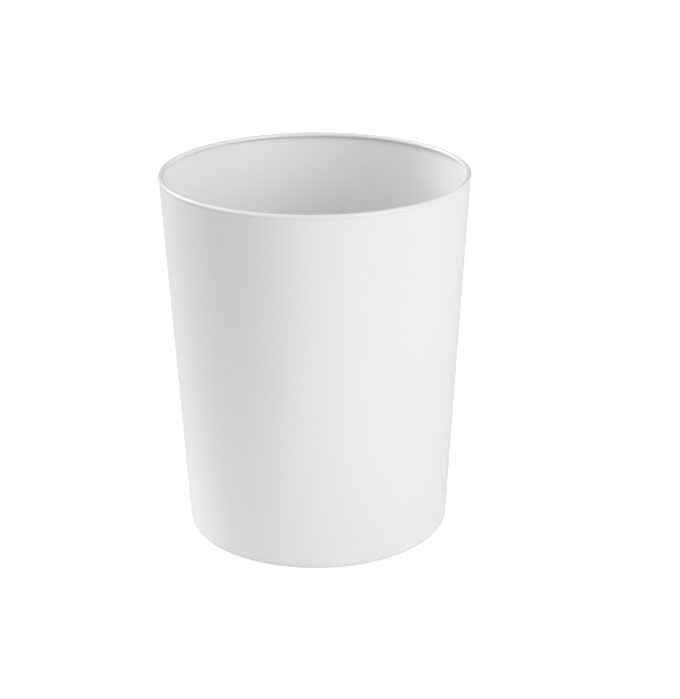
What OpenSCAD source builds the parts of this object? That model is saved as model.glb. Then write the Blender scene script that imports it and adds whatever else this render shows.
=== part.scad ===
// Round tapered wastebasket in painted sheet steel.
// The wall is one sheet, rolled and seam-welded. Its top edge is curled over a steel wire,
// its foot is turned in through a rounded heel to a flat flange, and the flange's inner edge
// stands up inside. The raised base plate hooks over that upstand in a crimped lock seam.
// Four rubber pads are stuck under the flange. Z is up, z = 0 is the floor, and the axis
// of the basket is the Z axis.

/* [Overall size] */
// Outside diameter over the rim bead
rim_d = 250; // [230:5:290]
// Height of the shell, from the underside of its foot flange to the top of the rim bead
shell_h = 301; // [260:1:340]
// Diameter that the wall's outer face would reach if it ran straight down past the heel
foot_d = 215; // [205:0.2:222]

/* [Sheet and rim] */
// Thickness of the steel sheet
sheet_t = 0.6; // [0.5:0.1:0.7]
// Diameter of the wire inside the rolled rim
wire_d = 2.9; // [2.4:0.1:3.2]
// How far the rim bead stands out past the wall's outer face
rim_proud = 0.4; // [0.2:0.1:0.8]
// How far round the wire the curl is closed, measured from straight out
curl_end = 236; // [210:2:240]

/* [Heel and base] */
// Outside radius of the rounded heel
heel_r = 6; // [4:0.5:9]
// Width of the flat flange between the heel and its upstand
flange_w = 9; // [8.5:0.5:11]
// Height of the upstand above the underside of the flange
upstand_h = 6.5; // [6:0.5:8]
// Height of the base plate's outer panel above the underside of the flange
panel_rise = 3.4; // [3:0.2:4]
// Extra height of the pressed centre of the base plate
dish_rise = 2; // [1:0.5:2.5]
// Diameter of the pressed centre of the base plate
dish_d = 140; // [100:5:150]

/* [Floor pads] */
// Diameter of a rubber pad
pad_d = 8; // [7:0.5:8.5]
// Thickness of a rubber pad
pad_t = 1.5; // [1:0.5:2]
// Chamfer round the pad's lower edge
pad_chamfer = 0.4; // [0.2:0.1:0.5]

/* [Hidden] */
$fn = 160;

// Clearances in the assembled joints
wire_gap = 0.03;  // between the wire and the curl round it
seam_gap = 0.05;  // between the base plate's hook and the upstand

half_t = sheet_t / 2;
sole_z = pad_t;                                    // underside of the flange
rim_z = sole_z + shell_h;                          // top of the rim bead
wall_top_r = rim_d / 2 - rim_proud;                // wall's outer face at the rim's full height
slope = (wall_top_r - foot_d / 2) / shell_h;
lean = atan(slope);                                // the wall leans out by this angle

// Rim curl: circles are on the sheet's middle surface
curl_r = wire_d / 2 + wire_gap + half_t;
curl_c = [rim_d / 2 - curl_r - half_t, rim_z - curl_r - half_t];
joggle_r = 1.1;                                    // reverse bend that carries the wall out to the curl
// distance of the wall's middle line outward from a point, measured square to the wall
function wall_offset(p) = (foot_d / 2 + slope * (p[1] - sole_z) - p[0]) * cos(lean) - half_t;
joggle_out = wall_offset(curl_c) + joggle_r;
joggle_down = sqrt(pow(curl_r + joggle_r, 2) - pow(joggle_out, 2));
joggle_c = curl_c + joggle_out * [cos(lean), -sin(lean)] - joggle_down * [sin(lean), cos(lean)];
curl_start = atan2(joggle_c[1] - curl_c[1], joggle_c[0] - curl_c[0]);

// Heel
heel_m = heel_r - half_t;
heel_c = [foot_d / 2 + slope * heel_r - heel_r / cos(lean), sole_z + heel_r];

// Upstand and the base plate's hook round it
bend_r = 1;
flange_in = heel_c[0] - flange_w;                  // where the flange's flat part ends
upstand_r = flange_in - bend_r;                    // middle surface of the upstand
upstand_top = sole_z + upstand_h;
hook_r = sheet_t + seam_gap;                       // from the upstand's middle surface to the hook's
panel_z = sole_z + panel_rise;
dish_r = dish_d / 2;
press_r = 2.5;                                     // radius of the pressed step in the base plate
press_a = acos(1 - dish_rise / (2 * press_r));     // each of its two bends turns this far
pad_circle_r = heel_c[0] - flange_w / 2;

// A path along the middle of a sheet. Each entry is [r, z, nr, nz]: a point and the unit normal to its left.
function bend_right(c, r, a0, a1, n) = [for (i = [0:n]) let (a = a0 + (a1 - a0) * i / n) [c[0] + r * cos(a), c[1] + r * sin(a), cos(a), sin(a)]];
function bend_left(c, r, a0, a1, n) = [for (i = [0:n]) let (a = a0 + (a1 - a0) * i / n) [c[0] + r * cos(a), c[1] + r * sin(a), -cos(a), -sin(a)]];
function side(path, d) = [for (p = path) [p[0] + p[2] * d, p[1] + p[3] * d]];
function reversed(v) = [for (i = [len(v) - 1:-1:0]) v[i]];

// Turns a sheet path round the axis
module spun_sheet(path) {
    rotate_extrude() polygon(concat(side(path, half_t), reversed(side(path, -half_t))));
}

shell_path = concat(
    bend_right(curl_c, curl_r, curl_end, curl_start, 36),
    bend_left(joggle_c, joggle_r, curl_start + 180, 180 - lean, 6),
    bend_right(heel_c, heel_m, -lean, -90, 14),
    bend_right([flange_in, sole_z + half_t + bend_r], bend_r, -90, -180, 8),
    [[upstand_r, upstand_top, -1, 0]]
);

base_path = concat(
    [[0, panel_z + dish_rise, 0, 1]],
    bend_right([dish_r, panel_z + dish_rise - press_r], press_r, 90, 90 - press_a, 6),
    bend_left([dish_r + 2 * press_r * sin(press_a), panel_z + press_r], press_r, 270 - press_a, 270, 6),
    bend_left([upstand_r - hook_r - bend_r, panel_z + bend_r], bend_r, 270, 360, 8),
    bend_right([upstand_r, upstand_top], hook_r, 180, 0, 12),
    [[upstand_r + hook_r, sole_z + sheet_t + 0.6, 1, 0]]
);

module body_shell() {
    color("white") spun_sheet(shell_path);
}

module rim_wire() {
    color("silver") rotate_extrude() translate(curl_c) circle(d = wire_d, $fn = 32);
}

module base_plate() {
    color("white") spun_sheet(base_path);
}

module foot_pad(angle) {
    color("gainsboro") rotate([0, 0, angle]) translate([pad_circle_r, 0, 0]) {
        cylinder(d1 = pad_d - 2 * pad_chamfer, d2 = pad_d, h = pad_chamfer, $fn = 48);
        translate([0, 0, pad_chamfer]) cylinder(d = pad_d, h = pad_t - pad_chamfer, $fn = 48);
    }
}

body_shell();
rim_wire();
base_plate();
foot_pad(-45);  // foot_pad_front_right
foot_pad(45);  // foot_pad_back_right
foot_pad(135);  // foot_pad_back_left
foot_pad(225);  // foot_pad_front_left
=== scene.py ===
"""Looks of the round tapered wastebasket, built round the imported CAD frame.

Every visible piece is a fine lathe mesh on the CAD's own section: the sheet's curls, bends, hooks and cut edges are
real geometry, and the finishes are procedural."""

import math

import bmesh
import bpy
from mathutils import Matrix, Vector, noise


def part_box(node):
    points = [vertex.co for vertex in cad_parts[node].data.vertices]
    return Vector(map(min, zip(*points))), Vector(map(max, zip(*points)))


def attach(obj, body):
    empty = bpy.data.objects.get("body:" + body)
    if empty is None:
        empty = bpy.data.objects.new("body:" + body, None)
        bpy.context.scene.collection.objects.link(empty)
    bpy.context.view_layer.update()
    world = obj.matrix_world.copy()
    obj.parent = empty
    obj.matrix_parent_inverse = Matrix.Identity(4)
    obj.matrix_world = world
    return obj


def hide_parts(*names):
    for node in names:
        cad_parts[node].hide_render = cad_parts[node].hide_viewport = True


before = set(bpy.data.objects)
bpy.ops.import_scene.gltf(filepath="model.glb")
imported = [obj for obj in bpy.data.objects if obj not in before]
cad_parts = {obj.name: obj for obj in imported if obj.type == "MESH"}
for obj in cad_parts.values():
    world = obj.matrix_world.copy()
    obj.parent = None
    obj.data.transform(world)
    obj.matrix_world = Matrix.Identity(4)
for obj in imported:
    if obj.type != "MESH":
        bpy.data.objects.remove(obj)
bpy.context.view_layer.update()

MM = 0.001
SEGMENTS = 360

# ---------------------------------------------------------------------------------------------------------------
# Section of the basket, read from the CAD boxes. Radii are from the axis, heights from the floor, in metres.
# ---------------------------------------------------------------------------------------------------------------
shell_lo, shell_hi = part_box("body_shell")
wire_lo, wire_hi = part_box("rim_wire")
base_lo, base_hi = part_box("base_plate")

SHEET = 0.6 * MM
HALF = SHEET / 2
SOLE = shell_lo.z  # underside of the foot flange
RIM_Z = shell_hi.z
RIM_R = (shell_hi.x - shell_lo.x) / 2
WIRE_R = (wire_hi.z - wire_lo.z) / 2
FOOT_R = 107.5 * MM  # where the wall's outer line meets the sole's level
HEEL_R = 6 * MM
FLANGE_W = 9 * MM
BEND_R = 1 * MM
UPSTAND_H = 6.5 * MM
JOGGLE_R = 1.1 * MM
CURL_END = math.radians(236)
RIM_PROUD = 0.4 * MM
SEAM_GAP = 0.05 * MM
WIRE_GAP = 0.03 * MM

SLOPE = (RIM_R - RIM_PROUD - FOOT_R) / (RIM_Z - SOLE)
LEAN = math.atan(SLOPE)
CURL_R = WIRE_R + WIRE_GAP + HALF
CURL_C = (RIM_R - CURL_R - HALF, RIM_Z - CURL_R - HALF)
_out = (FOOT_R + SLOPE * (CURL_C[1] - SOLE) - CURL_C[0]) * math.cos(LEAN) - HALF + JOGGLE_R
_down = math.sqrt((CURL_R + JOGGLE_R) ** 2 - _out**2)
JOGGLE_C = (
    CURL_C[0] + _out * math.cos(LEAN) - _down * math.sin(LEAN),
    CURL_C[1] - _out * math.sin(LEAN) - _down * math.cos(LEAN),
)
CURL_START = math.atan2(JOGGLE_C[1] - CURL_C[1], JOGGLE_C[0] - CURL_C[0])
HEEL_C = (FOOT_R + SLOPE * HEEL_R - HEEL_R / math.cos(LEAN), SOLE + HEEL_R)
FLANGE_IN = HEEL_C[0] - FLANGE_W
UPSTAND_R = FLANGE_IN - BEND_R
UPSTAND_TOP = SOLE + UPSTAND_H
HOOK_R = SHEET + SEAM_GAP
PRESS_R = 2.5 * MM


def arc(c, r, a0, a1, n, right):
    """Points along a bend, each (r, z, normal r, normal z), with the normal on the path's left."""
    s = 1 if right else -1
    return [
        (c[0] + r * math.cos(a), c[1] + r * math.sin(a), s * math.cos(a), s * math.sin(a))
        for a in (a0 + (a1 - a0) * i / n for i in range(n + 1))
    ]


def straight(p, q, stops):
    """Points along a straight stretch between two path points, at the given shares of its length."""
    return [tuple(a + (b - a) * t for a, b in zip(p, q)) for t in stops]


def eased(n, edge=0.0016):
    """Shares of a long straight stretch: a close ring at each end holds the shading, and the rest are even."""
    return [edge] + [i / n for i in range(1, n)] + [1 - edge]


def rounded_end(p, before, n=5):
    """A sheet's cut edge with its painted-over corners: points round the end of the path at p, left side to right."""
    d = (p[0] - before[0], p[1] - before[1])
    k = math.hypot(*d)
    d = (d[0] / k, d[1] / k)
    out = []
    for i in range(1, 2 * n):
        a = math.pi / 2 - math.pi * i / (2 * n)
        s, c = math.sin(a), math.cos(a)
        # a superellipse keeps the edge square with eased corners
        s2 = math.copysign(abs(s) ** 0.55, s)
        c2 = abs(c) ** 0.55
        out.append((p[0] + p[2] * HALF * s2 + d[0] * HALF * 0.55 * (c2 - 1), p[1] + p[3] * HALF * s2 + d[1] * HALF * 0.55 * (c2 - 1)))
    return out


def sheet_outline(path, open_end=True):
    """The closed outline of a sheet whose middle follows path."""
    left = [(p[0] + p[2] * HALF, p[1] + p[3] * HALF) for p in path]
    right = [(p[0] - p[2] * HALF, p[1] - p[3] * HALF) for p in path]
    cut = HALF * 0.55

    def pulled(side, end, before):
        d = (end[0] - before[0], end[1] - before[1])
        k = math.hypot(*d)
        return side[0] - d[0] / k * cut, side[1] - d[1] / k * cut

    left[-1] = pulled(left[-1], path[-1], path[-2])
    right[-1] = pulled(right[-1], path[-1], path[-2])
    outline = left + rounded_end(path[-1], path[-2])
    if not open_end:
        left0 = pulled(left[0], path[0], path[1])
        right0 = pulled(right[0], path[0], path[1])
        outline[0] = left0
        right[0] = right0
        start = [(q[0], q[1]) for q in rounded_end((path[0][0], path[0][1], -path[0][2], -path[0][3]), path[1])]
        return outline + right[::-1] + start
    return outline + right[::-1]


def lathe(name, outline, segments=SEGMENTS, closed=True, warp=None):
    """Turns an outline round the Z axis. Points on the axis become one vertex each. warp(r, z, angle) moves a point."""
    bm = bmesh.new()
    rings = []
    for r, z in outline:
        if r < 1e-9:
            rings.append([bm.verts.new((0, 0, z))])
            continue
        ring = []
        for k in range(segments):
            a = 2 * math.pi * k / segments
            rr, zz = warp(r, z, a) if warp else (r, z)
            ring.append(bm.verts.new((rr * math.cos(a), rr * math.sin(a), zz)))
        rings.append(ring)
    n = len(rings)
    for i in range(n if closed else n - 1):
        a, b = rings[i], rings[(i + 1) % n]
        if len(a) == 1 and len(b) == 1:
            continue
        for k in range(segments):
            m = (k + 1) % segments
            if len(a) == 1:
                bm.faces.new((a[0], b[m], b[k]))
            elif len(b) == 1:
                bm.faces.new((a[k], a[m], b[0]))
            else:
                bm.faces.new((a[k], a[m], b[m], b[k]))
    bmesh.ops.recalc_face_normals(bm, faces=bm.faces)
    for f in bm.faces:
        f.smooth = True
    me = bpy.data.meshes.new(name)
    bm.to_mesh(me)
    bm.free()
    ob = bpy.data.objects.new(name, me)
    bpy.context.scene.collection.objects.link(ob)
    return ob


# ---------------------------------------------------------------------------------------------------------------
# Finishes
# ---------------------------------------------------------------------------------------------------------------
class Graph:
    """A short way to write a node tree."""

    def __init__(self, tree, coords="Object"):
        self.nt = tree
        self.nt.nodes.clear()
        self.coords = self.node("ShaderNodeTexCoord").outputs[coords]

    def node(self, kind, **props):
        n = self.nt.nodes.new(kind)
        for k, v in props.items():
            setattr(n, k, v)
        return n

    def put(self, socket, value):
        if isinstance(value, bpy.types.NodeSocket):
            self.nt.links.new(value, socket)
        else:
            socket.default_value = value

    def noise(self, scale, detail=2.0, rough=0.5, vector=None, distortion=0.0):
        n = self.node("ShaderNodeTexNoise")
        self.put(n.inputs["Vector"], vector or self.coords)
        n.inputs["Scale"].default_value = scale
        n.inputs["Detail"].default_value = detail
        n.inputs["Roughness"].default_value = rough
        n.inputs["Distortion"].default_value = distortion
        return n.outputs["Fac"]

    def stretch(self, x, y, z):
        n = self.node("ShaderNodeMapping")
        self.put(n.inputs["Vector"], self.coords)
        n.inputs["Scale"].default_value = (x, y, z)
        return n.outputs[0]

    def ramp(self, value, lo, hi, out_lo, out_hi, smooth=True):
        n = self.node("ShaderNodeMapRange")
        n.interpolation_type = "SMOOTHSTEP" if smooth else "LINEAR"
        self.put(n.inputs["Value"], value)
        for k, v in zip(("From Min", "From Max", "To Min", "To Max"), (lo, hi, out_lo, out_hi)):
            n.inputs[k].default_value = v
        return n.outputs["Result"]

    def maths(self, op, a, b=0.0, c=0.0):
        n = self.node("ShaderNodeMath", operation=op)
        self.put(n.inputs[0], a)
        self.put(n.inputs[1], b)
        self.put(n.inputs[2], c)
        return n.outputs[0]

    def mix(self, fac, a, b):
        n = self.node("ShaderNodeMix", data_type="RGBA")
        self.put(n.inputs[0], fac)
        self.put(n.inputs[6], (*a, 1) if isinstance(a, tuple) else a)
        self.put(n.inputs[7], (*b, 1) if isinstance(b, tuple) else b)
        return n.outputs[2]

    def bump(self, height, distance, strength=1.0, normal=None):
        n = self.node("ShaderNodeBump")
        n.inputs["Strength"].default_value = strength
        n.inputs["Distance"].default_value = distance
        self.put(n.inputs["Height"], height)
        if normal is not None:
            self.put(n.inputs["Normal"], normal)
        return n.outputs[0]

    def lobe(self, direction, focus, strength):
        """A soft round patch of light: full strength seen along direction, falling off faster the higher its focus."""
        n = self.node("ShaderNodeVectorMath", operation="DOT_PRODUCT")
        self.put(n.inputs[0], self.coords)
        n.inputs[1].default_value = direction
        off = self.maths("MULTIPLY", self.maths("SUBTRACT", n.outputs["Value"], 1.0), focus)
        return self.maths("MULTIPLY", self.maths("EXPONENT", off), strength)


class Finish(Graph):
    """A material with one Principled shader."""

    def __init__(self, name):
        self.mat = bpy.data.materials.new(name)
        self.mat.use_nodes = True
        super().__init__(self.mat.node_tree)
        self.out = self.node("ShaderNodeOutputMaterial")
        self.shader = self.node("ShaderNodeBsdfPrincipled")
        self.nt.links.new(self.shader.outputs[0], self.out.inputs["Surface"])


def powder_coat(name, light, dark, gloss=0.22):
    """White gloss powder coat: an even white, with fine orange peel over a longer, softer one, and a film that flowed out
    a little glossier in places."""
    g = Finish(name)
    drift = g.noise(7.0, 0.0, 0.5)
    g.put(g.shader.inputs["Base Color"], g.mix(g.ramp(drift, 0.2, 0.8, 0.0, 1.0), light, dark))
    film = g.noise(26.0, 1.0, 0.5)
    mist = g.noise(700.0, 1.0, 0.5)
    g.put(
        g.shader.inputs["Roughness"],
        g.maths("ADD", g.ramp(film, 0.25, 0.75, gloss - 0.015, gloss + 0.015), g.ramp(mist, 0.3, 0.7, 0.0, 0.01)),
    )
    peel = g.noise(380.0, 1.0, 0.4)
    swell = g.noise(125.0, 1.0, 0.4)
    n1 = g.bump(swell, 22e-6)
    n2 = g.bump(peel, 5e-6, normal=n1)
    g.put(g.shader.inputs["Normal"], n2)
    g.shader.inputs["IOR"].default_value = 1.5
    return g.mat


def drawn_wire(name):
    """Zinc-coated drawn steel: dull bright metal with fine lines along the wire and dull spots."""
    g = Finish(name)
    lines = g.noise(2600.0, 2.0, 0.6, g.stretch(0.25, 0.25, 1.0))
    spots = g.noise(300.0, 3.0, 0.6)
    g.put(g.shader.inputs["Base Color"], g.mix(g.ramp(spots, 0.35, 0.7, 0, 1), (0.66, 0.67, 0.68), (0.50, 0.51, 0.53)))
    g.shader.inputs["Metallic"].default_value = 1.0
    g.put(g.shader.inputs["Roughness"], g.ramp(spots, 0.3, 0.7, 0.30, 0.46))
    g.put(g.shader.inputs["Normal"], g.bump(lines, 12e-6))
    return g.mat


def pad_rubber(name):
    """Pale grey soft rubber: matt, finely grained, with slightly darker clouds."""
    g = Finish(name)
    grain = g.noise(2400.0, 2.0, 0.6)
    cloud = g.noise(240.0, 3.0, 0.6)
    g.put(g.shader.inputs["Base Color"], g.mix(g.ramp(cloud, 0.3, 0.7, 0, 1), (0.56, 0.56, 0.55), (0.46, 0.46, 0.455)))
    g.put(g.shader.inputs["Roughness"], g.ramp(cloud, 0.3, 0.7, 0.62, 0.78))
    g.put(g.shader.inputs["Normal"], g.bump(grain, 40e-6))
    return g.mat


SHELL_MAT = powder_coat("white_powder_coat", (0.864, 0.864, 0.862), (0.856, 0.856, 0.854))
BASE_MAT = powder_coat("white_powder_coat_base", (0.860, 0.860, 0.858), (0.850, 0.850, 0.848), gloss=0.235)
WIRE_MAT = drawn_wire("drawn_zinc_wire")
PAD_MAT = pad_rubber("grey_pad_rubber")


# ---------------------------------------------------------------------------------------------------------------
# Body shell
# ---------------------------------------------------------------------------------------------------------------
curl = arc(CURL_C, CURL_R, CURL_END, CURL_START, 52, True)
joggle = arc(JOGGLE_C, JOGGLE_R, CURL_START + math.pi, math.pi - LEAN, 9, False)
heel = arc(HEEL_C, HEEL_R - HALF, -LEAN, -math.pi / 2, 16, True)
tuck = arc((FLANGE_IN, SOLE + HALF + BEND_R), BEND_R, -math.pi / 2, -math.pi, 8, True)
upstand_end = (UPSTAND_R, UPSTAND_TOP, -1.0, 0.0)
shell_path = (
    curl
    + joggle[1:]
    + straight(joggle[-1], heel[0], eased(22))
    + heel
    + straight(heel[-1], tuck[0], (0.04, 0.5, 0.96))
    + tuck
    + straight(tuck[-1], upstand_end, (0.06, 0.5, 0.9))
    + [upstand_end]
)
WALL_LO, WALL_HI = HEEL_C[1] + 4 * MM, JOGGLE_C[1] - 4 * MM
WELD = math.pi / 2  # the planished weld runs down the back


def sheet_form(r, z, a):
    """The rolled sheet isn't a perfect cone: it drifts by under a tenth of a millimetre, and its weld line is a trace proud."""
    if r < FLANGE_IN:
        return r, z
    t = min(1.0, max(0.0, (z - SOLE) / (30 * MM))) * min(1.0, max(0.0, (RIM_Z - z) / (30 * MM)))
    t = t * t * (3 - 2 * t)
    p = Vector((math.cos(a) * 2.1, math.sin(a) * 2.1, z * 9.0))
    drift = noise.noise(p) * 0.07 * MM + noise.noise(p * 2.7 + Vector((5, 1, 3))) * 0.02 * MM
    d = (a - WELD + math.pi) % (2 * math.pi) - math.pi
    span = abs(d) * r
    ridge = 0.035 * MM * math.exp(-((span / (1.3 * MM)) ** 2))
    wall = min(1.0, max(0.0, (z - WALL_LO) / (3 * MM))) * min(1.0, max(0.0, (WALL_HI - z) / (3 * MM)))
    outer = r > FOOT_R + SLOPE * (z - SOLE) - HALF
    return r + t * drift + (ridge * wall if outer else 0.0), z


body = lathe("body_shell_sheet", sheet_outline(shell_path, open_end=False), warp=sheet_form)
body.data.materials.append(SHELL_MAT)
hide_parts("body_shell")
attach(body, "root")

# ---------------------------------------------------------------------------------------------------------------
# Rim wire: one round ring inside the curl
# ---------------------------------------------------------------------------------------------------------------
wire_outline = [
    (CURL_C[0] + WIRE_R * math.cos(2 * math.pi * i / 28), CURL_C[1] + WIRE_R * math.sin(2 * math.pi * i / 28)) for i in range(28)
]
wire = lathe("rim_wire_ring", wire_outline)
wire.data.materials.append(WIRE_MAT)
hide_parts("rim_wire")
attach(wire, "root")

# ---------------------------------------------------------------------------------------------------------------
# Base plate: pressed centre, flat outer panel, and the hook crimped over the shell's upstand
# ---------------------------------------------------------------------------------------------------------------
PANEL_Z = SOLE + 3.4 * MM
DISH_RISE = 2 * MM
DISH_R = 70 * MM
press = math.acos(1 - DISH_RISE / (2 * PRESS_R))
step_a = arc((DISH_R, PANEL_Z + DISH_RISE - PRESS_R), PRESS_R, math.pi / 2, math.pi / 2 - press, 8, True)
step_b = arc((DISH_R + 2 * PRESS_R * math.sin(press), PANEL_Z + PRESS_R), PRESS_R, 1.5 * math.pi - press, 1.5 * math.pi, 8, False)
rise = arc((UPSTAND_R - HOOK_R - BEND_R, PANEL_Z + BEND_R), BEND_R, 1.5 * math.pi, 2 * math.pi, 8, False)
hook = arc((UPSTAND_R, UPSTAND_TOP), HOOK_R, math.pi, 0.0, 14, True)
hook_end = (UPSTAND_R + HOOK_R, SOLE + SHEET + 0.6 * MM, 1.0, 0.0)
centre = (0.0, PANEL_Z + DISH_RISE, 0.0, 1.0)
base_path = (
    [centre]
    + straight(centre, step_a[0], (0.02, 0.1, 0.25, 0.4, 0.55, 0.7, 0.85, 0.985))
    + step_a
    + step_b[1:]
    + straight(step_b[-1], rise[0], (0.03, 0.35, 0.7, 0.97))
    + rise
    + straight(rise[-1], hook[0], (0.08, 0.5, 0.92))
    + hook
    + straight(hook[-1], hook_end, (0.06, 0.5, 0.9))
    + [hook_end]
)


def plate_form(r, z, a):
    """The pressed centre is taut, with a crown of a tenth of a millimetre and a slight unevenness."""
    if r > DISH_R:
        return r, z
    t = 1 - (r / DISH_R) ** 2
    p = Vector((r * math.cos(a) * 22, r * math.sin(a) * 22, 0.3))
    return r, z + t * (0.10 * MM + noise.noise(p) * 0.05 * MM)


base = lathe("base_plate_sheet", sheet_outline(base_path), closed=False, warp=plate_form)
base.data.materials.append(BASE_MAT)
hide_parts("base_plate")
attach(base, "root")

# ---------------------------------------------------------------------------------------------------------------
# Floor pads: moulded rubber discs with eased edges and a shallow dished face
# ---------------------------------------------------------------------------------------------------------------
for name in ("foot_pad_front_right", "foot_pad_back_right", "foot_pad_back_left", "foot_pad_front_left"):
    lo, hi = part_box(name)
    mid = (lo + hi) / 2
    R = (hi.x - lo.x) / 2
    T = hi.z - lo.z
    e = 0.4 * MM
    outline = [(0.0, 0.12 * MM), (R * 0.35, 0.10 * MM), (R * 0.6, 0.04 * MM), (R * 0.72, 0.0), (R - e - 0.15 * MM, 0.0)]
    outline += [(R - e + e * math.sin(q), e - e * math.cos(q)) for q in (math.pi / 2 * i / 6 for i in range(7))]
    outline += [(R, T * 0.6), (R, T - 0.12 * MM), (R - 0.04 * MM, T - 0.04 * MM), (R - 0.12 * MM, T), (R * 0.5, T), (0.0, T)]
    pad = lathe(name + "_disc", [(r, z + lo.z) for r, z in outline], segments=64, closed=False)
    pad.data.transform(Matrix.Translation((mid.x, mid.y, 0)))
    pad.data.materials.append(PAD_MAT)
    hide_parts(name)
    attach(pad, "root")

# ---------------------------------------------------------------------------------------------------------------
# Studio: pale floor, soft light, camera. Azimuths are in degrees from +X towards +Y, and the camera is at 270.
# ---------------------------------------------------------------------------------------------------------------
def heading(azimuth, height):
    a, h = math.radians(azimuth), math.radians(height)
    return Vector((math.cos(h) * math.cos(a), math.cos(h) * math.sin(a), math.sin(h)))


# The room: one large soft light behind on the left, one in front on the right, a broad glow from the upper left and a
# small fill behind on the right, with a dark ceiling over the front left. The camera itself sees plain white.
world = bpy.data.worlds.new("studio")
bpy.context.scene.world = world
world.use_nodes = True
wg = Graph(world.node_tree, "Generated")
back_light = wg.lobe(heading(147.6, 23.7), 38.9, 11.08)
front_light = wg.lobe(heading(321.5, 20.8), 15.8, 5.48)
glow = wg.lobe(heading(202.2, 50.0), 6.3, 4.00)
fill = wg.lobe(heading(45.6, 26.9), 23.6, 2.71)
room = wg.maths("ADD", wg.maths("ADD", back_light, front_light), wg.maths("ADD", glow, fill))
dim = wg.maths("SUBTRACT", 1.0, wg.lobe(heading(223.4, 63.6), 6.9, 1.0))
room = wg.maths("MULTIPLY", room, dim)
camera_ray = wg.node("ShaderNodeLightPath").outputs["Is Camera Ray"]
room = wg.maths("ADD", wg.maths("MULTIPLY", room, wg.maths("SUBTRACT", 1.0, camera_ray)), wg.maths("MULTIPLY", camera_ray, 1.1))
background = wg.node("ShaderNodeBackground")
background.inputs["Color"].default_value = (1, 1, 1, 1)
wg.put(background.inputs["Strength"], room)
wg.put(wg.node("ShaderNodeOutputWorld").inputs["Surface"], background.outputs[0])

# The floor: a plain pale sheet. It glows for every ray but the camera's: a set emission stands in for the light it
# would throw back on to the basket, a soft glow, dimmer from the front left and stronger from straight in front; the
# camera sees it nearly burnt out, with the contact shadow.
bm = bmesh.new()
bmesh.ops.create_circle(bm, cap_ends=True, cap_tris=False, segments=128, radius=12.0)
floor_me = bpy.data.meshes.new("studio_floor")
bm.to_mesh(floor_me)
bm.free()
floor = bpy.data.objects.new("studio_floor", floor_me)
bpy.context.scene.collection.objects.link(floor)
fg = Finish("pale_floor")
fg.put(fg.shader.inputs["Base Color"], fg.mix(fg.noise(3.0, 3.0), (0.60, 0.60, 0.60), (0.59, 0.59, 0.59)))
fg.shader.inputs["Roughness"].default_value = 0.9
fg.shader.inputs["Specular IOR Level"].default_value = 0.0
split = fg.node("ShaderNodeSeparateXYZ")
fg.put(split.inputs[0], fg.coords)
reach = fg.node("ShaderNodeVectorMath", operation="LENGTH")
fg.put(reach.inputs[0], fg.coords)
reach = reach.outputs["Value"]


def towards(azimuth, focus):
    """1 on the floor in that direction from the basket, falling off round it."""
    a = math.radians(azimuth)
    along = fg.maths("ADD", fg.maths("MULTIPLY", split.outputs["X"], math.cos(a)), fg.maths("MULTIPLY", split.outputs["Y"], math.sin(a)))
    cosine = fg.maths("DIVIDE", along, fg.maths("MAXIMUM", reach, 1e-4))
    return fg.maths("EXPONENT", fg.maths("MULTIPLY", fg.maths("SUBTRACT", cosine, 1.0), focus))


# painted glow: the floor's emission, dimmed towards the front left and raised straight in front, lights the basket in
# place of its bounce light
front_left_dip = fg.maths("MULTIPLY", towards(217.3, 4.5), fg.ramp(reach, 0.17, 0.63, 0.0, 1.0))
spill = fg.maths("MULTIPLY", towards(275.6, 9.4), fg.ramp(reach, 0.10, 0.50, 0.0, 0.51))
bounce = fg.maths("ADD", fg.maths("MULTIPLY", fg.maths("SUBTRACT", 1.0, front_left_dip), 0.72), spill)
floor_glow = fg.node("ShaderNodeEmission")
floor_glow.inputs["Color"].default_value = (1, 1, 1, 1)
fg.put(floor_glow.inputs["Strength"], bounce)
wash = fg.node("ShaderNodeEmission")  # overexposes the sheet to white, so that only the contact shadow still shows
wash.inputs["Color"].default_value = (1, 1, 1, 1)
wash.inputs["Strength"].default_value = 0.62
lit = fg.node("ShaderNodeAddShader")
fg.put(lit.inputs[0], wash.outputs[0])
fg.put(lit.inputs[1], fg.shader.outputs[0])
seen = fg.node("ShaderNodeMixShader")
fg.put(seen.inputs[0], fg.node("ShaderNodeLightPath").outputs["Is Camera Ray"])
fg.put(seen.inputs[1], floor_glow.outputs[0])
fg.put(seen.inputs[2], lit.outputs[0])
fg.put(fg.out.inputs["Surface"], seen.outputs[0])
floor.data.materials.append(fg.mat)

# Light that goes back and forth inside a white basket needs more than the usual four bounces.
bpy.context.scene.cycles.diffuse_bounces = 8
bpy.context.scene.cycles.glossy_bounces = 6

F_PX, ELEV, DIST = 1979.55, math.radians(20.5845), 1.63304
YAW, PITCH, ROLL = (math.radians(v) for v in (0.6752, -0.0254, -0.5925))
back = Vector((0, -math.cos(ELEV), math.sin(ELEV)))
fwd, right = -back, Vector((1, 0, 0))
up = right.cross(fwd)
f1 = fwd * math.cos(YAW) + right * math.sin(YAW)
r1 = right * math.cos(YAW) - fwd * math.sin(YAW)
f2 = f1 * math.cos(PITCH) + up * math.sin(PITCH)
u2 = up * math.cos(PITCH) - f1 * math.sin(PITCH)
r3 = r1 * math.cos(ROLL) + u2 * math.sin(ROLL)
u3 = u2 * math.cos(ROLL) - r1 * math.sin(ROLL)
cam_data = bpy.data.cameras.new("camera")
cam = bpy.data.objects.new("camera", cam_data)
bpy.context.scene.collection.objects.link(cam)
cam.matrix_world = Matrix.Translation(Vector((0, 0, 0.1505)) + back * DIST) @ Matrix((r3, u3, -f2)).transposed().to_4x4()
cam_data.sensor_width = 36.0
cam_data.lens = F_PX * 36.0 / 699
cam_data.clip_start, cam_data.clip_end = 0.05, 60
bpy.context.scene.camera = cam

bpy.context.scene.view_settings.view_transform = "Standard"
bpy.context.scene.view_settings.look = "None"
